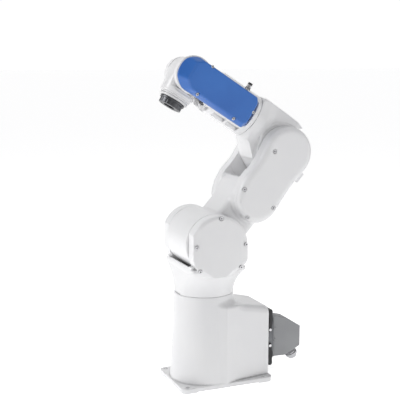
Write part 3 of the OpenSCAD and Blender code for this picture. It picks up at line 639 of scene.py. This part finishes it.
def sdf_wrist(x, y, z):
    hub = tube_y(x, y, z, 0, 0, 46, -29.4, 29.4, 2.5)
    rad = hyp(x, y)
    barrel = I(rad - np.interp(-z, [0, 24, 43, 57, 67], [52, 50, 46.5, 44, 43]), z, 2)
    skirt = I(rad - 43, slab(z, -67, -50), 1.6)
    slim = I(barrel, np.abs(y) - (29.4 + 14 * np.clip((-z - 50) / 8, 0, 1)), 3)
    slim = I(slim, -60 - z, 1)
    slim = I(slim, np.abs(x) - 46, 4)
    d = U(U(hub, slim, 6), skirt, 4)
    d = np.maximum(d, -np.maximum(rad - 28, slab(z, -53, 28)))
    d = np.maximum(d, -np.maximum(rad - 36, slab(z, -68, -52)))
    d = np.maximum(d, -tube_y(x, y, z, 0, 0, 12, -31, -20))
    d = D(d, box(x, y, z, (-12, -20, 34), (30, 20, 50), 2), 1.0)
    return d


casting("wrist_body", sdf_wrist, (-52, -44, -68), (52, 44, 47), 1.5, WRIST, "wrist", WRISTW, ["wrist_housing"])


def sdf_ring(x, y, z):
    rad = hyp(x, y)
    d = I(rad - 40, slab(z, -78, -67), 1.2)
    d = D(d, np.maximum(np.abs(z + 72.5) - 0.9, 38.6 - rad), 0.2)
    return np.maximum(d, 26 - rad)


casting("wrist_collar", sdf_ring, (-41, -41, -79), (41, 41, -66), 1.2, WRIST, "wrist", WRISTW, ["wrist_ring"])


def sdf_flange(x, y, z):
    rad = hyp(x, y)
    d = I(rad - 31.5, slab(z, -96.5, -79), 1.0)
    d = np.minimum(d, I(rad - 34.5, slab(z, -84, -79), 0.8))
    d = np.minimum(d, np.maximum(rad - 25, slab(z, -80, -61)))
    for i in range(12):
        a = math.radians(i * 30 + 15)
        d = D(d, np.maximum(disc(x, y, 34 * math.cos(a), 34 * math.sin(a), 3.4), slab(z, -98, -85)), 0.5)
    d = D(d, np.maximum(rad - 15.75, slab(z, -98, -90.5)), 0.6)
    d = np.maximum(d, -np.maximum(rad - 10, slab(z, -97, -60)))
    for i in range(4):
        a = math.radians(45 + i * 90)
        d = D(d, np.maximum(disc(x, y, 25 * math.cos(a), 25 * math.sin(a), 2.5), slab(z, -98, -84.5)), 0.4)
    return np.maximum(d, -np.maximum(disc(x, y, 0, 25, 3), slab(z, -98, -90.5)))


casting("tool_plate", sdf_flange, (-35, -35, -97), (35, 35, -60), 1.2, WRIST, "tool", FLANGE, ["tool_flange"])

# ---------------------------------------------------------------- rear connector
HOOD = [(-204, 44), (-204, 160), (-213, 161), (-247, 152), (-290, 124), (-290, 66), (-243, 43)]
HOOD_IN = [(-203, 49), (-203, 153), (-212, 156), (-245, 147), (-285, 121), (-285, 69), (-241, 49)]


def sdf_hood(x, y, z):
    d = I(poly(x, z, HOOD), np.abs(y) - 22, 1.6)
    rim = box(x, y, z, (-207, -23.2, 43), (-203.6, 23.2, 161), 1.0)
    d = U(d, rim, 0.8)
    for zz in (92, 125):
        d = np.minimum(d, tube_y(x, y, z, -208, zz, 3.5, -24.6, 24.6, 0.8))
    d = np.maximum(d, -np.maximum(poly(x, z, HOOD_IN), np.abs(y) - 18))
    gx, gz = math.sin(math.radians(-153.93)), math.cos(math.radians(-153.93))
    a = (x + 266.5) * gx + (z - 54.5) * gz
    r = hyp(hyp(x + 266.5 - a * gx, z - 54.5 - a * gz), y)
    return np.maximum(d, -np.maximum(r - 14, slab(a, -12, 18)))


casting("connector_hood_shell", sdf_hood, (-291, -25.5, 42), (-202, 25.5, 162), 1.6, ROW, "base", HOODG, ["connector_hood"])


def sdf_conn(x, y, z):
    d = box(x, y, z, (-174, -27, 27), (-168, 27, 179), 1.2)
    d = U(d, box(x, y, z, (-203, -23, 36), (-173, 23, 166), 1.2), 1.0)
    d = np.minimum(d, box(x, y, z, (-169, -14, 42), (-138, 14, 166), 1.0))
    d = np.maximum(d, -box(x, y, z, (-204, -18, 41), (-180, 18, 161)))
    for zz in (36, 172):
        for yy in (-20, 20):
            d = np.maximum(d, -np.maximum(disc(y, z, yy, zz, 2.5), slab(x, -208, -138)))
            d = np.maximum(d, -np.maximum(disc(y, z, yy, zz, 5), slab(x, -208, -174)))
    for zz in (80, 126):
        d = np.maximum(d, -tube_y(x, y, z, -190, zz, 2.5, -24, 24))
    return d


casting("connector_frame", sdf_conn, (-204, -28, 26), (-137, 28, 180), 1.5, ROW, "base", DARKM, ["connector_base"])


def sdf_latch(x, y, z, up):
    w = (z - 103) * up
    arm = [(-7, -2), (-7, 10), (-10, 26), (-8, 40), (-9, 55), (-3, 59), (4, 57), (4, 40), (1, 26), (5, 10), (7, -2)]
    body = np.minimum(disc(x, w, -190, 23, 7.5), poly(x + 190, w - 23, chaikin(arm, 1)))
    d = I(body, slab(np.abs(y), 25, 29), 1.0)
    d = U(d, box(x, y, w, (-199, -26, 73), (-186, 26, 79), 1.4), 1.0)
    return np.maximum(d, -(disc(x, w, -190, 23, 2.75)))


casting("upper_lever", lambda x, y, z: sdf_latch(x, y, z, 1), (-202, -29.5, 117), (-181, 29.5, 187), 1.2, ROW, "upper_latch", LEVER, ["upper_latch"])
casting("lower_lever", lambda x, y, z: sdf_latch(x, y, z, -1), (-202, -29.5, 19), (-181, 29.5, 89), 1.2, ROW, "lower_latch", LEVER, ["lower_latch"])

# ---------------------------------------------------------------- CAD nodes that keep their own shape
KEEP = {
    "j1_motor": MOTOR, "j2_motor": MOTOR, "j3_motor": MOTOR, "j4_motor": MOTOR, "j5_motor": MOTOR, "j6_motor": MOTOR,
    "j1_reducer": MACH, "j2_reducer": MACH, "j3_reducer": MACH, "j4_reducer": MACH, "j5_reducer": MACH, "j6_reducer": MACH,
    "j1_bearing_outer": BEAR, "j1_bearing_inner": BEAR, "j1_bearing_balls": BEAR, "j4_bearing_outer": BEAR, "j4_bearing_inner": BEAR,
    "j2_support_bearing": BEAR, "j3_support_bearing": BEAR, "j5_support_bearing": BEAR,
    "j2_output_flange": MACH, "j2_trunnion": MACH, "j3_output_flange": MACH, "j3_trunnion": MACH, "j5_trunnion": MACH,
    "j3_motor_pulley": PULLEY, "j3_input_pulley": PULLEY, "j5_motor_pulley": PULLEY, "j5_input_pulley": PULLEY,
    "j3_belt": BELT, "j5_belt": BELT, "j1_seal": SEAL, "flange_seal": SEAL,
    "connector_screws": STEEL, "latch_pins": STEEL, "shoulder_cover_screws": STEEL, "arm_cover_screws": STEEL, "forearm_cover_screws": STEEL,
    "cable_gland": CHROME, "gland_cap": CHROME, "arm_cable_boss": WHITE,
    "air_fitting_body": CHROME, "air_fitting_sleeve": BLACKP,
}
for name, mat in KEEP.items():
    me = nodes[name].data
    me.materials.clear()
    me.materials.append(mat)

# ---------------------------------------------------------------- studio
scene = bpy.context.scene
me = bpy.data.meshes.new("studio_floor")
s = 60.0
me.from_pydata([(-s, -s, -0.0005), (s, -s, -0.0005), (s, s, -0.0005), (-s, s, -0.0005)], [], [(0, 1, 2, 3)])
floor = bpy.data.objects.new("studio_floor", me)
scene.collection.objects.link(floor)
fm, fnt, fb = new_material("studio_floor_white")
fb.inputs["Base Color"].default_value = (0.94, 0.94, 0.94, 1)
fb.inputs["Roughness"].default_value = 0.9
fb.inputs["Specular IOR Level"].default_value = 0.1
fb.inputs["Emission Color"].default_value = (1.0, 1.0, 1.0, 1)
fb.inputs["Emission Strength"].default_value = 0.62
me.materials.append(fm)

world = bpy.data.worlds.new("studio_world")
world.use_nodes = True
bg = world.node_tree.nodes["Background"]
wt = world.node_tree
wtc = wt.nodes.new("ShaderNodeTexCoord")
wdot = wt.nodes.new("ShaderNodeVectorMath")
wdot.operation = "DOT_PRODUCT"
wdot.inputs[1].default_value = (-0.3886, -0.9214, 0.0)
wt.links.new(wtc.outputs["Generated"], wdot.inputs[0])
wr = wt.nodes.new("ShaderNodeValToRGB")
we = wr.color_ramp.elements
we[0].position, we[0].color = 0.55, (0.3, 0.3, 0.305, 1)
we[1].position, we[1].color = 0.85, (1.02, 1.02, 1.02, 1)
wt.links.new(wdot.outputs["Value"], wr.inputs["Fac"])
wt.links.new(wr.outputs["Color"], bg.inputs["Color"])
bg.inputs["Strength"].default_value = 1.0
scene.world = world


def area(name, loc, target, size, power, colour=(1, 1, 1)):
    d = bpy.data.lights.new(name, "AREA")
    d.shape = "RECTANGLE"
    d.size, d.size_y = size
    d.energy = power
    d.color = colour
    o = bpy.data.objects.new(name, d)
    o.location = loc
    o.rotation_euler = (Vector(target) - Vector(loc)).to_track_quat("-Z", "Y").to_euler()
    scene.collection.objects.link(o)
    return o


MID = (-0.05, 0.0, 0.45)
area("key", (2.5, -0.7, 2.3), MID, (1.3, 1.5), 44)
area("front_fill", (0.9, 2.9, 1.5), MID, (1.2, 1.6), 5)
area("top", (-0.4, 0.2, 2.8), MID, (1.8, 1.8), 8)
area("rear_fill", (-2.4, 1.2, 1.4), MID, (1.2, 1.6), 9)

cam_data = bpy.data.cameras.new("camera")
cam_data.sensor_width = 36.0
cam_data.lens = 80.507
cam = bpy.data.objects.new("camera", cam_data)
fwd = Vector((-0.38375, -0.90989, -0.15754))
up = Vector((-0.06122, -0.14516, 0.98751))
right = fwd.cross(up).normalized()
up = right.cross(fwd).normalized()
rot = Matrix((right, up, -fwd)).transposed()
cam.matrix_world = Matrix.Translation((0.9317, 2.1838, 0.8805)) @ rot.to_4x4()
scene.collection.objects.link(cam)
scene.camera = cam
scene.view_settings.view_transform = "Standard"
